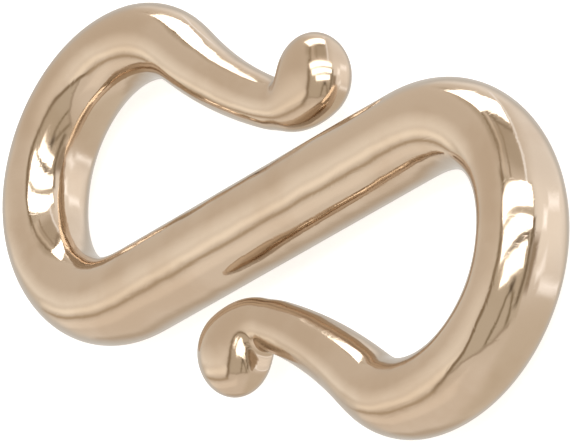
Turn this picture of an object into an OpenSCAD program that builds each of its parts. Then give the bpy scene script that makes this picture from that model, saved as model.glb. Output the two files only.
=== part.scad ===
// S-hook clasp for a chain: one length of round wire, thick in the bar and drawn thinner towards its tips

/* [Wire] */
// Diameter of the straight bar
bar_d = 2.05; // [1.95:0.05:2.15]
// Diameter at the end of the heel, the first bend off the bar
heel_d = 1.85; // [1.75:0.05:1.95]
// Diameter on the side of the loop
side_d = 1.95; // [1.8:0.05:2.05]
// Diameter at the end of the crown, the far bend of the loop
crown_d = 1.8; // [1.7:0.05:1.9]
// Diameter at the end of the toe, the bend that leads into the arm
toe_d = 1.5; // [1.4:0.05:1.6]
// Diameter of the neck, the thinnest place, at the end of the arm
neck_d = 1.2; // [1.1:0.05:1.3]
// Diameter at the end of the curl
curl_d = 1.55; // [1.4:0.05:1.6]
// Diameter of the ball at each tip
ball_d = 1.8; // [1.7:0.05:1.9]

/* [S shape] */
// Length of the straight bar
bar_l = 9.05; // [8.6:0.05:9.6]
// Angle between the bar and the long direction of the clasp
bar_angle = 32; // [28:1:36]
// Centreline radius of the heel and the side of a loop
loop_r = 3.1; // [3:0.05:3.3]
// Angle that the heel turns through
heel_turn = 52; // [48:1:54]
// Angle that the side turns through
side_turn = 52; // [48:1:54]
// Centreline radius of the crown
crown_r = 2.9; // [2.8:0.05:3]
// Angle that the crown turns through
crown_turn = 86; // [82:1:88]
// Centreline radius of the toe
toe_r = 2.7; // [2.6:0.05:2.9]
// Angle that the toe turns through
toe_turn = 40; // [36:1:42]
// Centreline radius of the arm, which bows the other way
arm_r = 12.8; // [12:0.2:14]
// Angle that the arm turns back through
arm_turn = 17; // [15:1:19]
// Centreline radius of the curl, where the tip turns away from the bar
curl_r = 0.85; // [0.85:0.05:1]
// Angle that the curl turns through
curl_turn = 56; // [50:1:60]
// Length of the straight tip, from the curl to the middle of the ball
tip_l = 0.5; // [0.45:0.05:0.6]

/* [Fineness] */
// Flats around the wire
sides = 28; // [16:2:32]
// Multiplies the number of rings along the wire
ring_factor = 1; // [0.5:0.25:1.25]

/* [Hidden] */

// Half the stretch of wire over which one bend runs softly into the next
ease = 0.3;
// Places within that stretch, as shares of it, whose directions are averaged
EASE_SHARES = [-1, -0.5, 0, 0.5, 1];
// Rings on the round end of a ball
cap_rings = 5;
metal_color = "#c9ad90";

// Columns of the table of stretches
LENGTH = 0;
TURN = 1;
END_D = 2;
RINGS = 3;

function straight(length, end_d, rings) = [length, 0, end_d, ceil(rings * ring_factor)];
function bend(radius, turn, end_d, rings) =
    [radius * abs(turn) * PI / 180, turn, end_d, ceil(rings * ring_factor)];

// Stretches of half the clasp, from the middle of the bar to the middle of a ball
// A turn to the left counts as positive
stretches = [
    straight(bar_l / 2, bar_d, 6),
    bend(loop_r, -heel_turn, heel_d, 9),
    bend(loop_r, -side_turn, side_d, 9),
    bend(crown_r, -crown_turn, crown_d, 15),
    bend(toe_r, -toe_turn, toe_d, 7),
    bend(arm_r, arm_turn, neck_d, 9),
    bend(curl_r, curl_turn, curl_d, 8),
    straight(tip_l, ball_d, 4),
];
last = len(stretches);

// Sum of a column over the first stretches, for none of them, one, two and so on
function running(column) = [
    for (i = 0, sum = 0; i <= last; sum = sum + (i < last ? stretches[i][column] : 0), i = i + 1) sum
];
ends = running(LENGTH);
turns = running(TURN);
turn_table = [for (i = [0 : last]) [ends[i], turns[i]]];
diameters = [bar_d, for (row = stretches) row[END_D]];

// Direction of the wire at a distance along it from the middle of the bar
function heading(s) = let (
    reads = [for (share = EASE_SHARES) lookup(s + share * ease, turn_table)]
) bar_angle + reads * [for (share = EASE_SHARES) 1] / len(EASE_SHARES);
function direction(s) = [cos(heading(s)), sin(heading(s))];

// Change of diameter for each millimetre of wire at the end of a stretch, none along the bar and at the ball
function taper(i) = (i < 2 || i == last) ? 0 : (diameters[i + 1] - diameters[i - 1]) / (ends[i + 1] - ends[i - 1]);

// Diameter on stretch i at a share t of its length, a cubic curve that keeps the tapers of both its ends
function stretch_diameter(i, t) = let (
    length = stretches[i][LENGTH]
) (2 * t ^ 3 - 3 * t ^ 2 + 1) * diameters[i]
    + (t ^ 3 - 2 * t ^ 2 + t) * length * taper(i)
    + (3 * t ^ 2 - 2 * t ^ 3) * diameters[i + 1]
    + (t ^ 3 - t ^ 2) * length * taper(i + 1);

// Distance and radius of each ring on half the clasp, the first one at the middle of the bar
stations = [
    [0, bar_d / 2],
    for (i = [0 : last - 1], j = [1 : stretches[i][RINGS]])
        let (t = j / stretches[i][RINGS])
            [ends[i] + t * stretches[i][LENGTH], stretch_diameter(i, t) / 2],
];

// Centres of those rings, each found from the one before it
function step(i) = let (
    from = stations[i][0],
    to = stations[i + 1][0]
) (to - from) * direction((from + to) / 2);
centres = [
    for (i = 0, p = [0, 0]; i < len(stations); p = p + (i + 1 < len(stations) ? step(i) : [0, 0]), i = i + 1) p
];

// Centre, heading and radius of every ring on half the clasp, with the round end of the ball
tip_centre = centres[len(centres) - 1];
tip_heading = heading(ends[last]);
tip_direction = direction(ends[last]);
half_rings = [
    for (i = [0 : len(stations) - 1]) [centres[i], heading(stations[i][0]), stations[i][1]],
    for (k = [1 : cap_rings])
        let (lift = 90 * k / (cap_rings + 1))
            [tip_centre + ball_d / 2 * sin(lift) * tip_direction, tip_heading, ball_d / 2 * cos(lift)],
];

// The other half is the same one after half a turn about the middle of the bar
half_count = len(half_rings);
rings = [
    for (i = [half_count - 1 : -1 : 1]) [-half_rings[i][0], half_rings[i][1], half_rings[i][2]],
    for (ring = half_rings) ring,
];
pole = tip_centre + ball_d / 2 * tip_direction;

// Points around one ring, which stands square to the wire
function ring_points(ring) = let (
    centre = ring[0],
    turned = ring[1],
    radius = ring[2]
) [
    for (j = [0 : sides - 1])
        let (a = 360 * j / sides)
            [
                centre.x - radius * cos(a) * sin(turned),
                centre.y + radius * cos(a) * cos(turned),
                bar_d / 2 + radius * sin(a),
            ],
];

module s_hook() {
    count = len(rings);
    points = [
        for (ring = rings) each ring_points(ring),
        [-pole.x, -pole.y, bar_d / 2],
        [pole.x, pole.y, bar_d / 2],
    ];
    first_pole = count * sides;
    last_pole = first_pole + 1;
    skin = [
        for (i = [0 : count - 2], j = [0 : sides - 1])
            let (k = (j + 1) % sides)
                each [
                    [i * sides + j, (i + 1) * sides + k, (i + 1) * sides + j],
                    [i * sides + j, i * sides + k, (i + 1) * sides + k],
                ],
    ];
    first_end = [for (j = [0 : sides - 1]) [first_pole, (j + 1) % sides, j]];
    last_end = [for (j = [0 : sides - 1]) let (row = (count - 1) * sides) [last_pole, row + j, row + (j + 1) % sides]];
    color(metal_color) polyhedron(points = points, faces = concat(skin, first_end, last_end), convexity = 6);
}

s_hook();
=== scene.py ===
import math

import bmesh
import bpy
from mathutils import Matrix, Vector


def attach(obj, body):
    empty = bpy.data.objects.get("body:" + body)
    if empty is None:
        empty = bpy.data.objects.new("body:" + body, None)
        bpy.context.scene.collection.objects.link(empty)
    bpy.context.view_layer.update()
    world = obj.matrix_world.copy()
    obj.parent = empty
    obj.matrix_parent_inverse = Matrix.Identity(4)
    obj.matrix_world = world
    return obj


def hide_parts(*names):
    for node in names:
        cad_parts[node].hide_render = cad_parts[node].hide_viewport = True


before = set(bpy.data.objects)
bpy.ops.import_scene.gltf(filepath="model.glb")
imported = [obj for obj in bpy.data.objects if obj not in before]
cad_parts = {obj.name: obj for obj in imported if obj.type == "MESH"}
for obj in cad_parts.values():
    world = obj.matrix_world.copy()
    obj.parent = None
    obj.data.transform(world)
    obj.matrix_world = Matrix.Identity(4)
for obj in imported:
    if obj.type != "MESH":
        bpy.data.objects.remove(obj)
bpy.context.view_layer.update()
print("frame loaded:", sorted(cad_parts))

mm = 0.001


def srgb(code):
    # hex colour to the linear values that Blender's sockets take
    parts = [int(code[i:i + 2], 16) / 255 for i in (1, 3, 5)]
    return [p / 12.92 if p <= 0.04045 else ((p + 0.055) / 1.055) ** 2.4 for p in parts] + [1.0]


def addNode(tree, kind, settings=None, links=None):
    # settings go to inputs by name or number, or to the node itself; links name a socket of another node
    node = tree.nodes.new(kind)
    for key, value in (settings or {}).items():
        if isinstance(key, str) and hasattr(node, key):
            setattr(node, key, value)
        else:
            node.inputs[key].default_value = value
    for key, source in (links or {}).items():
        tree.links.new(source, node.inputs[key])
    return node


# Wire of the clasp, in millimetres and degrees, from the middle of the bar to one end
# Each stretch has the radius of its bend (0 for straight), its length if straight, its turn (left is
# positive), the width and height of its section at its end, and the distance between rings
hook = {
    "barDiameter": 2.05,
    "barAngle": 32,
    "ease": 0.3,             # half the length over which one bend runs into the next
    # bead at each end: its width and height, how far it reaches ahead of and behind its middle, and how
    # sharply it stands off the wire
    "bead": {"width": 2.14, "height": 1.38, "ahead": 0.9, "behind": 1.35, "power": 3},
    "aroundWire": 40,        # points around the wire
    "domeRings": 10,         # rings on the round front of a bead
    "stretches": {
        "bar": {"radius": 0, "length": 4.525, "turn": 0, "section": (2.05, 2.05), "spacing": 0.5},
        "heel": {"radius": 3.1, "length": 0, "turn": -52, "section": (1.85, 1.85), "spacing": 0.16},
        "side": {"radius": 3.1, "length": 0, "turn": -52, "section": (1.95, 1.95), "spacing": 0.16},
        "crown": {"radius": 2.9, "length": 0, "turn": -86, "section": (1.8, 1.8), "spacing": 0.16},
        "toe": {"radius": 2.7, "length": 0, "turn": -40, "section": (1.52, 1.52), "spacing": 0.14},
        "arm": {"radius": 13, "length": 0, "turn": 17, "section": (1.14, 1.0), "spacing": 0.1},
        "curl": {"radius": 0.86, "length": 0, "turn": 59, "section": (1.21, 0.95), "spacing": 0.05},
        "tip": {"radius": 0, "length": 0.47, "turn": 0, "section": (1.3, 0.92), "spacing": 0.05},
    },
}

stretches = list(hook["stretches"].values())
lengths = [row["length"] or row["radius"] * math.radians(abs(row["turn"])) for row in stretches]
ends = [sum(lengths[:i]) for i in range(len(lengths) + 1)]
turns = [sum(row["turn"] for row in stretches[:i]) for i in range(len(lengths) + 1)]
sections = [(hook["barDiameter"], hook["barDiameter"])] + [row["section"] for row in stretches]


def turnedAt(distance):
    # degrees turned so far, by straight lines between the ends of the stretches
    if distance <= 0:
        return 0.0
    for i, length in enumerate(lengths):
        if distance <= ends[i + 1]:
            return turns[i] + (turns[i + 1] - turns[i]) * (distance - ends[i]) / length
    return turns[-1]


def headingAt(distance):
    # the mean over a short stretch lets one bend run softly into the next
    reads = [turnedAt(distance + share * hook["ease"]) for share in (-1, -0.5, 0, 0.5, 1)]
    return hook["barAngle"] + sum(reads) / len(reads)


def taperAt(i, side):
    if i < 2 or i == len(lengths):
        return 0.0           # none along the bar and at the end
    return (sections[i + 1][side] - sections[i - 1][side]) / (ends[i + 1] - ends[i - 1])


def sizeAt(i, t, side):
    # half the width (side 0) or height (side 1) at share t of stretch i: a cubic curve that keeps the tapers
    # at its ends, swollen near the end of the wire by the bead
    wire = ((2 * t ** 3 - 3 * t ** 2 + 1) * sections[i][side]
            + (t ** 3 - 2 * t ** 2 + t) * lengths[i] * taperAt(i, side)
            + (3 * t ** 2 - 2 * t ** 3) * sections[i + 1][side]
            + (t ** 3 - t ** 2) * lengths[i] * taperAt(i + 1, side))
    bead = hook["bead"]
    power = bead["power"]
    swell = bead[("width", "height")[side]] ** power - sections[-1][side] ** power
    along = (ends[-1] - ends[i] - t * lengths[i]) / bead["behind"]
    return (wire ** power + swell * max(1 - along ** 2, 0) ** 3) ** (1 / power) / 2


def ringPlace(centre, heading, halfWidth, halfHeight):
    # a unit circle in XY stands up square to the wire, is sized and carried to its place
    stand = Matrix.Rotation(math.radians(heading), 4, "Z") @ Matrix.Rotation(math.radians(90), 4, "Y")
    return (Matrix.Translation((centre.x, centre.y, hook["barDiameter"] / 2)) @ stand
            @ Matrix.Diagonal((halfHeight, halfWidth, 1, 1)))


def ringPlaces():
    half = hook["barDiameter"] / 2
    places = [ringPlace(Vector((0, 0)), headingAt(0), half, half)]
    centre = Vector((0.0, 0.0))
    for i, row in enumerate(stretches):
        count = math.ceil(lengths[i] / row["spacing"])
        step = lengths[i] / count
        for j in range(1, count + 1):
            middle = math.radians(headingAt(ends[i] + (j - 0.5) * step))
            centre = centre + step * Vector((math.cos(middle), math.sin(middle)))
            places.append(ringPlace(centre, headingAt(ends[i] + j * step),
                                    sizeAt(i, j / count, 0), sizeAt(i, j / count, 1)))
    tipHeading = headingAt(ends[-1])
    ahead = Vector((math.cos(math.radians(tipHeading)), math.sin(math.radians(tipHeading))))
    bead = hook["bead"]
    halfWidth, halfHeight, dome = bead["width"] / 2, bead["height"] / 2, bead["ahead"]
    for k in range(1, hook["domeRings"] + 1):
        lift = math.radians(90 * k / (hook["domeRings"] + 0.5))
        places.append(ringPlace(centre + dome * math.sin(lift) * ahead, tipHeading,
                                halfWidth * math.cos(lift), halfHeight * math.cos(lift)))
    pole = centre + dome * ahead
    return places, Vector((pole.x, pole.y, half))


def makeHook():
    bm = bmesh.new()
    places, pole = ringPlaces()
    made = bmesh.ops.create_circle(bm, cap_ends=False, segments=hook["aroundWire"], radius=1)
    bmesh.ops.transform(bm, matrix=places[0], verts=made["verts"])
    edges = bm.edges[:]
    for before, after in zip(places, places[1:]):
        made = bmesh.ops.extrude_edge_only(bm, edges=edges)["geom"]
        ring = {v for v in made if isinstance(v, bmesh.types.BMVert)}
        edges = [e for e in made if isinstance(e, bmesh.types.BMEdge) and set(e.verts) <= ring]
        bmesh.ops.transform(bm, matrix=after @ before.inverted(), verts=list(ring))
    made = bmesh.ops.extrude_edge_only(bm, edges=edges)["geom"]
    bmesh.ops.pointmerge(bm, verts=[v for v in made if isinstance(v, bmesh.types.BMVert)], merge_co=pole)
    # the other half is this one after half a turn about the middle of the bar
    other = bmesh.ops.duplicate(bm, geom=bm.verts[:] + bm.edges[:] + bm.faces[:])["geom"]
    bmesh.ops.rotate(bm, matrix=Matrix.Rotation(math.pi, 3, "Z"), cent=(0, 0, 0),
                     verts=[v for v in other if isinstance(v, bmesh.types.BMVert)])
    bmesh.ops.remove_doubles(bm, verts=bm.verts[:], dist=0.001)
    bmesh.ops.scale(bm, vec=(mm, mm, mm), verts=bm.verts[:])
    bmesh.ops.recalc_face_normals(bm, faces=bm.faces[:])
    for face in bm.faces:
        face.smooth = True
    mesh = bpy.data.meshes.new("clasp_wire")
    bm.to_mesh(mesh)
    bm.free()
    piece = bpy.data.objects.new("clasp_wire", mesh)
    bpy.context.scene.collection.objects.link(piece)
    smoother = piece.modifiers.new("smoother", "SUBSURF")
    smoother.levels = smoother.render_levels = 1
    return piece


def addHeight(tree, below, pattern, depth):
    # a pattern from 0 to 1 times its depth, on top of the height so far
    if below is None:
        return addNode(tree, "ShaderNodeMath", {"operation": "MULTIPLY", 1: depth}, {0: pattern}).outputs[0]
    links = {0: pattern, 2: below}
    return addNode(tree, "ShaderNodeMath", {"operation": "MULTIPLY_ADD", 1: depth}, links).outputs[0]


def rampBetween(tree, source, start, end):
    # a soft step from 0 where the source is at the start value to 1 where it is at the end value
    ramp = addNode(tree, "ShaderNodeMapRange", {
        "interpolation_type": "SMOOTHSTEP", "From Min": start, "From Max": end}, {"Value": source})
    return ramp.outputs[0]


# Sizes and depths of the patterns in millimetres, and the noise values between which a pattern sets in
roseGold = {
    "clean": "#d0c0ae",
    "handled": "#c9b7a3",
    "roughness": (0.07, 0.14),       # clean, handled
    "film": {"size": 2.2, "limits": (0.42, 0.62)},
    "swells": {"size": 1.5, "depth": 0.055},
    "dimples": {"size": 0.45, "depth": 0.005},
    # one set of lines for each turn, and how far apart in the noise the sets are, so that they differ; real
    # hairlines are a tenth as wide, too fine to show
    "hairlines": {
        "length": 3.2, "width": 0.09, "depth": 0.00025, "limits": (0.66, 0.74),
        "turns": (25, 70, 112), "apart": 10,
    },
}


def makeRoseGold():
    # brass wire with a thin rose gold plating, cast and tumble polished: soft swells and dimples make the
    # reflected lights uneven, a film from handling deepens and dulls it in patches, and hairlines streak it
    material = bpy.data.materials.new("rose_gold_polished")
    material.use_nodes = True
    tree = material.node_tree
    tree.nodes.clear()
    place = addNode(tree, "ShaderNodeTexCoord").outputs["Object"]
    film = addNode(tree, "ShaderNodeTexNoise", {
        "Scale": 1000 / roseGold["film"]["size"], "Detail": 4.0}, {"Vector": place})
    patches = rampBetween(tree, film.outputs[0], *roseGold["film"]["limits"])
    color = addNode(tree, "ShaderNodeMix", {
        "data_type": "RGBA", 6: srgb(roseGold["clean"]), 7: srgb(roseGold["handled"])}, {0: patches})
    dull = addNode(tree, "ShaderNodeMapRange", {
        "To Min": roseGold["roughness"][0], "To Max": roseGold["roughness"][1]}, {"Value": patches})
    height = None
    for key in ("swells", "dimples"):
        wave = addNode(tree, "ShaderNodeTexNoise", {
            "Scale": 1000 / roseGold[key]["size"], "Detail": 1.0}, {"Vector": place})
        height = addHeight(tree, height, wave.outputs[0], roseGold[key]["depth"])
    lines = roseGold["hairlines"]
    stretched = (lines["length"] * mm, lines["width"] * mm, lines["width"] * mm)
    for i, turn in enumerate(lines["turns"]):
        drawn = addNode(tree, "ShaderNodeMapping", {
            "vector_type": "TEXTURE", "Location": (i * lines["apart"] * mm, 0, 0),
            "Rotation": (0, 0, math.radians(turn)), "Scale": stretched}, {"Vector": place})
        noise = addNode(tree, "ShaderNodeTexNoise", {
            "Scale": 1.0, "Detail": 0.0}, {"Vector": drawn.outputs[0]})
        line = rampBetween(tree, noise.outputs[0], *lines["limits"])
        height = addHeight(tree, height, line, -lines["depth"])
    bump = addNode(tree, "ShaderNodeBump", {"Distance": mm}, {"Height": height})
    shader = addNode(tree, "ShaderNodeBsdfPrincipled", {"Metallic": 1.0}, {
        "Base Color": color.outputs[2], "Roughness": dull.outputs[0], "Normal": bump.outputs[0]})
    addNode(tree, "ShaderNodeOutputMaterial", links={"Surface": shader.outputs["BSDF"]})
    return material


clasp = makeHook()
clasp.data.materials.append(makeRoseGold())
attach(clasp, "root")
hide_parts("s_hook")
print("clasp wire:", len(clasp.data.polygons), "faces before smoothing")

# Camera on a tripod: place round the clasp in degrees, distance and aim in millimetres
camera = {
    "azimuth": -2.15,        # from +X towards +Y
    "elevation": 37.0,
    "roll": -71.4,
    "distance": 163.0,
    "lens": 474.4,
    "aimRight": 0.27,        # how far right of and above the target it aims
    "aimUp": -0.165,
    "target": (0, 0, 1.025),
}


def cameraAxes():
    # directions to the right of the camera, above it and behind it
    a, e, r = (math.radians(camera[key]) for key in ("azimuth", "elevation", "roll"))
    back = Vector((math.cos(e) * math.cos(a), math.cos(e) * math.sin(a), math.sin(e)))
    level = Vector((-math.sin(a), math.cos(a), 0))
    upright = back.cross(level)
    right = math.cos(r) * level + math.sin(r) * upright
    return right, back.cross(right), back


right, up, back = cameraAxes()


def makeCamera():
    data = bpy.data.cameras.new("camera")
    data.lens = camera["lens"]
    data.sensor_width = 36
    data.clip_start = 0.01
    data.clip_end = 10
    rig = bpy.data.objects.new("camera", data)
    turn = Matrix((right, up, back)).transposed().to_4x4()
    aim = Vector(camera["target"]) + camera["aimRight"] * right + camera["aimUp"] * up
    rig.matrix_world = Matrix.Translation((aim + camera["distance"] * back) * mm) @ turn
    bpy.context.scene.collection.objects.link(rig)
    bpy.context.scene.camera = rig


makeCamera()
print("camera placed")

# Strip lights of the light tent: how far they stand from the clasp and how bright they are, then for each
# its degrees right of and above the lens, seen from the clasp, and its width and height in millimetres
stripLights = {
    "distance": 400,
    "radiance": 3.0,
    "strips": {
        "stripNear": {"across": -11, "over": 19.4, "width": 340, "height": 86},
        "stripMiddle": {"across": -12, "over": 35.6, "width": 490, "height": 82},
        "stripFar": {"across": -14, "over": 52, "width": 500, "height": 84},
        "stripTop": {"across": -22, "over": 107, "width": 240, "height": 125},
    },
}


def lensDirection(across, over):
    # direction whose angle from the lens has these two parts, as on a map centred on the lens
    angle = math.radians(math.hypot(across, over))
    side = (across * right + over * up).normalized()
    return math.cos(angle) * back + math.sin(angle) * side


def makeStrips():
    for name, row in stripLights["strips"].items():
        data = bpy.data.lights.new(name, "AREA")
        data.shape = "RECTANGLE"
        data.size = row["width"] * mm
        data.size_y = row["height"] * mm
        # watts that its whole face gives off
        data.energy = stripLights["radiance"] * math.pi * data.size * data.size_y
        toLight = lensDirection(row["across"], row["over"])
        level = (right - right.dot(toLight) * toLight).normalized()
        turn = Matrix((level, toLight.cross(level), toLight)).transposed().to_4x4()
        light = bpy.data.objects.new(name, data)
        light.matrix_world = Matrix.Translation(toLight * stripLights["distance"] * mm) @ turn
        light.visible_camera = False
        bpy.context.scene.collection.objects.link(light)


makeStrips()
print("strip lights:", len(stripLights["strips"]))

# White acrylic sheet under the clasp, lit from below as well so that it stays pale; size is half its side
whiteSheet = {"size": 600, "color": "#e6e6e6", "roughness": 0.7, "glow": "#ffffff", "strength": 0.68}


def makeFloor():
    bm = bmesh.new()
    bmesh.ops.create_grid(bm, x_segments=1, y_segments=1, size=whiteSheet["size"] * mm)
    mesh = bpy.data.meshes.new("floor")
    bm.to_mesh(mesh)
    bm.free()
    floor = bpy.data.objects.new("floor", mesh)
    bpy.context.scene.collection.objects.link(floor)
    floor.visible_glossy = False     # the metal reflects the tent's own lower side instead
    floor.visible_shadow = False     # and the tent lights the clasp from below too
    material = bpy.data.materials.new("white_acrylic")
    material.use_nodes = True
    tree = material.node_tree
    tree.nodes.clear()
    shader = addNode(tree, "ShaderNodeBsdfPrincipled", {
        "Base Color": srgb(whiteSheet["color"]), "Roughness": whiteSheet["roughness"],
        "Emission Color": srgb(whiteSheet["glow"]), "Emission Strength": whiteSheet["strength"]})
    addNode(tree, "ShaderNodeOutputMaterial", links={"Surface": shader.outputs["BSDF"]})
    mesh.materials.append(material)


makeFloor()
print("white sheet laid")

# Light tent round the clasp, drawn as a map of degrees right of and above the lens
tent = {
    "wall": {"tint": "#f1e7da"},
    # the side behind the clasp, laid over all panels, sets in between these degrees from the lens
    "farSide": {"from": 128, "to": 150, "tint": "#dedbd6"},
    # what the camera itself sees
    "background": {"tint": "#ffffff", "lit": 0.97},
}

# Panels of the tent, each laid over the ones before it: its middle, half its width and height, the width of
# its soft edge, its turn (0 if none is given), its colour and how brightly it is lit (1 if none is given)
tentPanels = {
    # sides and walls of the tent, with their bright edges
    "rightSide": {"at": (80, 55), "half": (62, 70), "soft": 50, "turn": -12, "tint": "#fffbf7", "lit": 1.1},
    "rightGlow": {"at": (75, 28), "half": (46, 26), "soft": 40, "turn": -8, "tint": "#fffbf7", "lit": 1.28},
    "farTop": {"at": (5, 152), "half": (95, 24), "soft": 20, "tint": "#fffbf7", "lit": 1.25},
    "lowSide": {"at": (75, -95), "half": (75, 62), "soft": 40, "turn": -6, "tint": "#e6dccd", "lit": 1.04},
    "lowWall": {"at": (-38, -98), "half": (52, 58), "soft": 40, "tint": "#f7eee3", "lit": 1.03},
    "underShade": {"at": (-10, -134), "half": (55, 13), "soft": 16, "turn": -4, "tint": "#d8ccbc"},
    "sidePanel": {"at": (-112, 40), "half": (55, 70), "soft": 30, "tint": "#f1e7da"},
    "sideUpper": {"at": (-92, 75), "half": (28, 48), "soft": 26, "tint": "#ebe0d2"},
    "sideGlow": {"at": (-100, -5), "half": (40, 18), "soft": 50, "turn": 10, "tint": "#fff9f0", "lit": 1.15},
    "sideEdge": {"at": (-96, -28), "half": (38, 8), "soft": 14, "turn": 17, "tint": "#fff8ed", "lit": 1.3},
    "lowerEdge": {"at": (-72, -69), "half": (46, 12), "soft": 14, "turn": 17, "tint": "#fff6eb", "lit": 1.1},
    "lowRim": {"at": (-142, -50), "half": (18, 30), "soft": 24, "tint": "#e6dccd", "lit": 1.05},
    # small white cards on the right, and a shade beside the opening
    "streakLow": {"at": (97, -20), "half": (32, 4), "soft": 14, "turn": -16, "tint": "#f2f3f7", "lit": 1.8},
    "streakHigh": {"at": (88, 44), "half": (20, 5), "soft": 12, "turn": -10, "tint": "#f2f3f7", "lit": 1.9},
    "cardLow": {"at": (60, 2), "half": (9, 5), "soft": 11, "turn": 20, "tint": "#f2f3f7", "lit": 1.8},
    "cardHigh": {"at": (56, 34), "half": (6, 8), "soft": 10, "turn": -12, "tint": "#f2f3f7", "lit": 2.0},
    "rightShade": {"at": (31, 8), "half": (8, 16), "soft": 10, "turn": -12, "tint": "#b6a795"},
    # front opening with its frame, and the gap between the strips
    "opening": {"at": (-16, 16), "half": (41, 43), "soft": 6, "tint": "#dfd5c5"},
    "frameSide": {"at": (-55, 9), "half": (3.4, 49), "soft": 5, "turn": -7, "tint": "#9c8a73"},
    "frameFoot": {"at": (-95, -50), "half": (40, 4.6), "soft": 9, "turn": 17, "tint": "#cdbca5"},
    "frameBottom": {"at": (-22, -27), "half": (36, 1.4), "soft": 5, "tint": "#b9aa98"},
    "frameRight": {"at": (20, 12), "half": (3.6, 28), "soft": 7, "turn": -12, "tint": "#8f806c"},
    "gapShade": {"at": (-11, 27.6), "half": (26, 1.6), "soft": 2.5, "tint": "#7c6b57"},
    # top of the tent
    "topShade": {"at": (-24, 88), "half": (34, 22), "soft": 12, "tint": "#d3c7b6"},
    "topPost": {"at": (-46, 80), "half": (2.4, 26), "soft": 4, "turn": -4, "tint": "#a99882"},
    "topStreak": {"at": (-38, 80), "half": (2.2, 20), "soft": 4, "turn": -4, "tint": "#f4e8d8"},
    "topBar": {"at": (-26, 78), "half": (1.8, 18), "soft": 4, "turn": -4, "tint": "#b9a994"},
    "topLine": {"at": (-20, 94), "half": (28, 1.6), "soft": 4, "tint": "#a49582"},
    "rightPost": {"at": (14, 95), "half": (2.6, 38), "soft": 4, "turn": -6, "tint": "#f2f3f7", "lit": 1.5},
    # lens in the opening, on its stand
    "lens": {"at": (-6, 5), "half": (5, 5), "soft": 8, "tint": "#6c5e4f"},
    "standLeft": {"at": (-15, -12), "half": (2.2, 13), "soft": 6, "turn": -14, "tint": "#94846b"},
    "standRight": {"at": (4, -12), "half": (2.2, 13), "soft": 6, "turn": 14, "tint": "#94846b"},
}


def tentMap(tree):
    # direction of a ray as degrees right of and above the lens, and how many degrees from the lens that is
    ray = addNode(tree, "ShaderNodeTexCoord").outputs["Generated"]
    parts = []
    for axis in (right, up, back):
        part = addNode(tree, "ShaderNodeVectorMath", {"operation": "DOT_PRODUCT", 1: axis}, {0: ray})
        parts.append(part.outputs["Value"])
    flat = addNode(tree, "ShaderNodeCombineXYZ", links={0: parts[0], 1: parts[1]})
    way = addNode(tree, "ShaderNodeVectorMath", {"operation": "NORMALIZE"}, {0: flat.outputs[0]}).outputs[0]
    angle = addNode(tree, "ShaderNodeMath", {"operation": "ARCCOSINE"}, {0: parts[2]})
    degrees = addNode(tree, "ShaderNodeMath", {"operation": "DEGREES"}, {0: angle.outputs[0]}).outputs[0]
    spot = addNode(tree, "ShaderNodeVectorMath", {"operation": "SCALE"}, {0: way, "Scale": degrees})
    return spot.outputs[0], degrees


def litTint(row):
    # colour of a panel, as bright as it is lit
    return [part * row.get("lit", 1) for part in srgb(row["tint"])[:3]] + [1.0]


def layOver(tree, below, share, row):
    # a colour over what is there so far, which is a plain colour at first
    mix = addNode(tree, "ShaderNodeMix", {"data_type": "RGBA", 7: litTint(row)}, {0: share})
    if isinstance(below, list):
        mix.inputs[6].default_value = below
    else:
        tree.links.new(below, mix.inputs[6])
    return mix.outputs[2]


def panelShare(tree, spot, row):
    # 1 inside a box on the map, 0 outside it, and a soft edge between them
    moved = addNode(tree, "ShaderNodeVectorMath", {
        "operation": "SUBTRACT", 1: (*row["at"], 0)}, {0: spot})
    turned = addNode(tree, "ShaderNodeVectorRotate", {
        "rotation_type": "Z_AXIS", "Angle": math.radians(-row.get("turn", 0))}, {"Vector": moved.outputs[0]})
    folded = addNode(tree, "ShaderNodeVectorMath", {"operation": "ABSOLUTE"}, {0: turned.outputs[0]})
    beyond = addNode(tree, "ShaderNodeVectorMath", {
        "operation": "SUBTRACT", 1: (*row["half"], 0)}, {0: folded.outputs[0]})
    sides = addNode(tree, "ShaderNodeSeparateXYZ", links={0: beyond.outputs[0]})
    far = addNode(tree, "ShaderNodeMath", {
        "operation": "MAXIMUM"}, {0: sides.outputs[0], 1: sides.outputs[1]}).outputs[0]
    return rampBetween(tree, far, row["soft"] / 2, -row["soft"] / 2)


def makeTent():
    world = bpy.data.worlds.new("tent")
    bpy.context.scene.world = world
    world.use_nodes = True
    tree = world.node_tree
    tree.nodes.clear()
    spot, degrees = tentMap(tree)
    color = litTint(tent["wall"])
    for row in tentPanels.values():
        color = layOver(tree, color, panelShare(tree, spot, row), row)
    far = tent["farSide"]
    color = layOver(tree, color, rampBetween(tree, degrees, far["from"], far["to"]), far)
    seen = addNode(tree, "ShaderNodeLightPath").outputs["Is Camera Ray"]
    color = layOver(tree, color, seen, tent["background"])
    sky = addNode(tree, "ShaderNodeBackground", links={"Color": color})
    addNode(tree, "ShaderNodeOutputWorld", links={"Surface": sky.outputs["Background"]})


makeTent()
bpy.context.scene.view_settings.view_transform = "Standard"
print("tent panels:", len(tentPanels))
